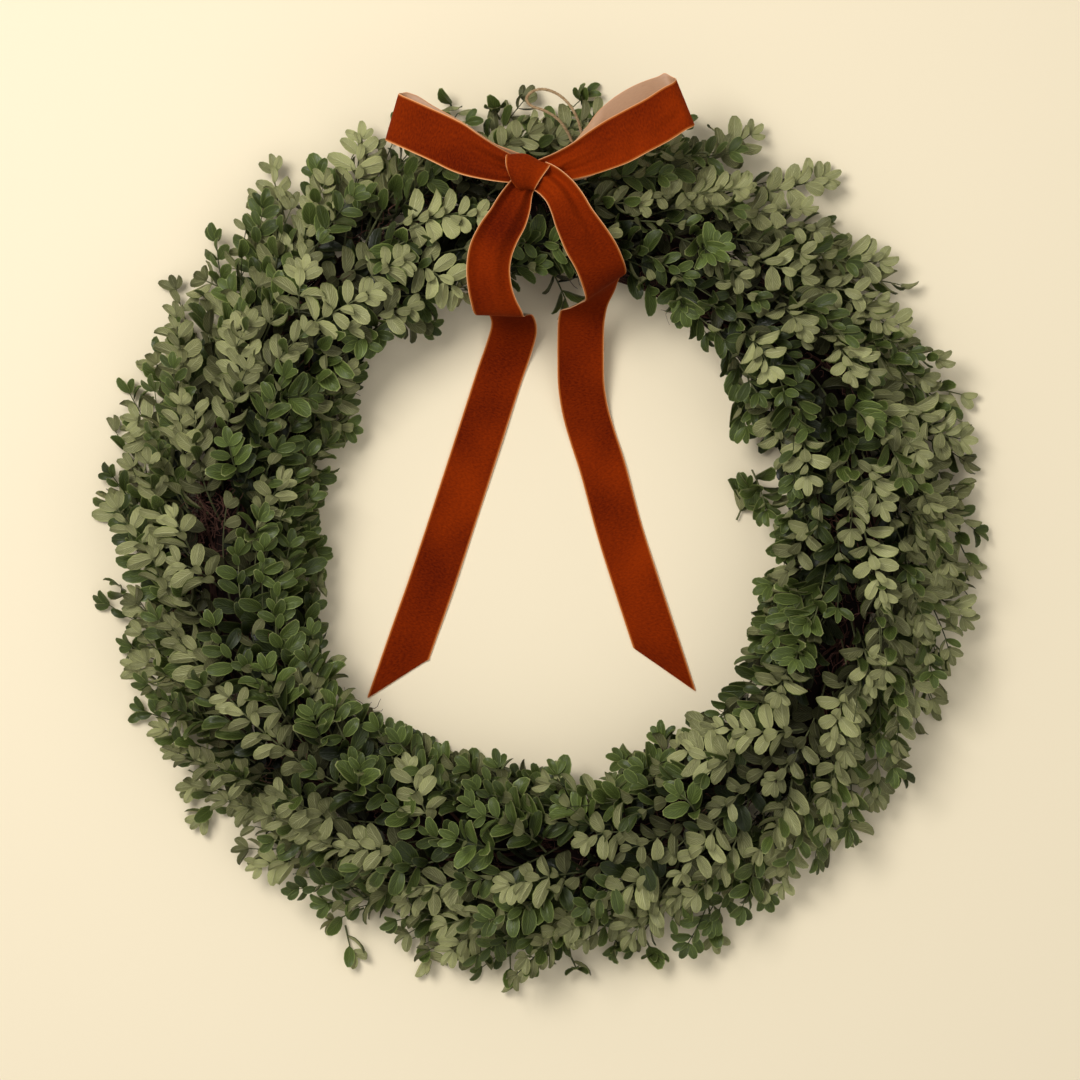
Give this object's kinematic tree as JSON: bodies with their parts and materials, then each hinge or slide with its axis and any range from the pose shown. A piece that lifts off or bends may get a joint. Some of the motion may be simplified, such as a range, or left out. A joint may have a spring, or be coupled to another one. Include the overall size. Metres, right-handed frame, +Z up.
{
  "type": "boxwood wreath with ribbon bow",
  "caption": "Round wreath of small-leaved boxwood sprigs on a twisted vine ring, with a tied velvet ribbon bow, two long tails and a twine loop for hanging.",
  "frame": {"origin": "middle of the wreath's outline, on the surface that it lies on", "axes": "+Z up, out of the wreath's front, towards the viewer; +Y towards the bow at the top of the wreath; +X to the viewer's right"},
  "size_m": [0.7234, 0.7266, 0.132],
  "materials": {
    "twisted_vine": "rough bark of thin dark brown twisted twigs",
    "sage_leaf": "satin grey-green leaf with a pale midrib and fine veins",
    "green_leaf": "semi-gloss deep green leaf with a yellow-green rim",
    "rust_velvet": "rust-coloured velvet ribbon with a paler woven edge and a satin back",
    "jute_twine": "twisted natural jute"
  },
  "bodies": {
    "root": {"vine_ring": "twisted_vine", "sage_leaves_01": "sage_leaf", "green_leaves_01": "green_leaf", "sage_leaves_02": "sage_leaf", "green_leaves_02": "green_leaf", "sage_leaves_03": "sage_leaf", "green_leaves_03": "green_leaf", "sage_leaves_04": "sage_leaf", "green_leaves_04": "green_leaf", "sage_leaves_05": "sage_leaf", "green_leaves_05": "green_leaf", "sage_leaves_06": "sage_leaf", "green_leaves_06": "green_leaf", "sage_leaves_07": "sage_leaf", "green_leaves_07": "green_leaf", "sage_leaves_08": "sage_leaf", "green_leaves_08": "green_leaf", "sage_leaves_09": "sage_leaf", "green_leaves_09": "green_leaf", "sage_leaves_10": "sage_leaf", "green_leaves_10": "green_leaf", "sage_leaves_11": "sage_leaf", "green_leaves_11": "green_leaf", "sage_leaves_12": "sage_leaf", "green_leaves_12": "green_leaf", "sage_leaves_13": "sage_leaf", "green_leaves_13": "green_leaf", "sage_leaves_14": "sage_leaf", "green_leaves_14": "green_leaf", "sage_leaves_15": "sage_leaf", "green_leaves_15": "green_leaf", "sage_leaves_16": "sage_leaf", "green_leaves_16": "green_leaf", "ribbon_bow": "rust_velvet", "hanging_loop": "jute_twine"}
  },
  "joints": []
}
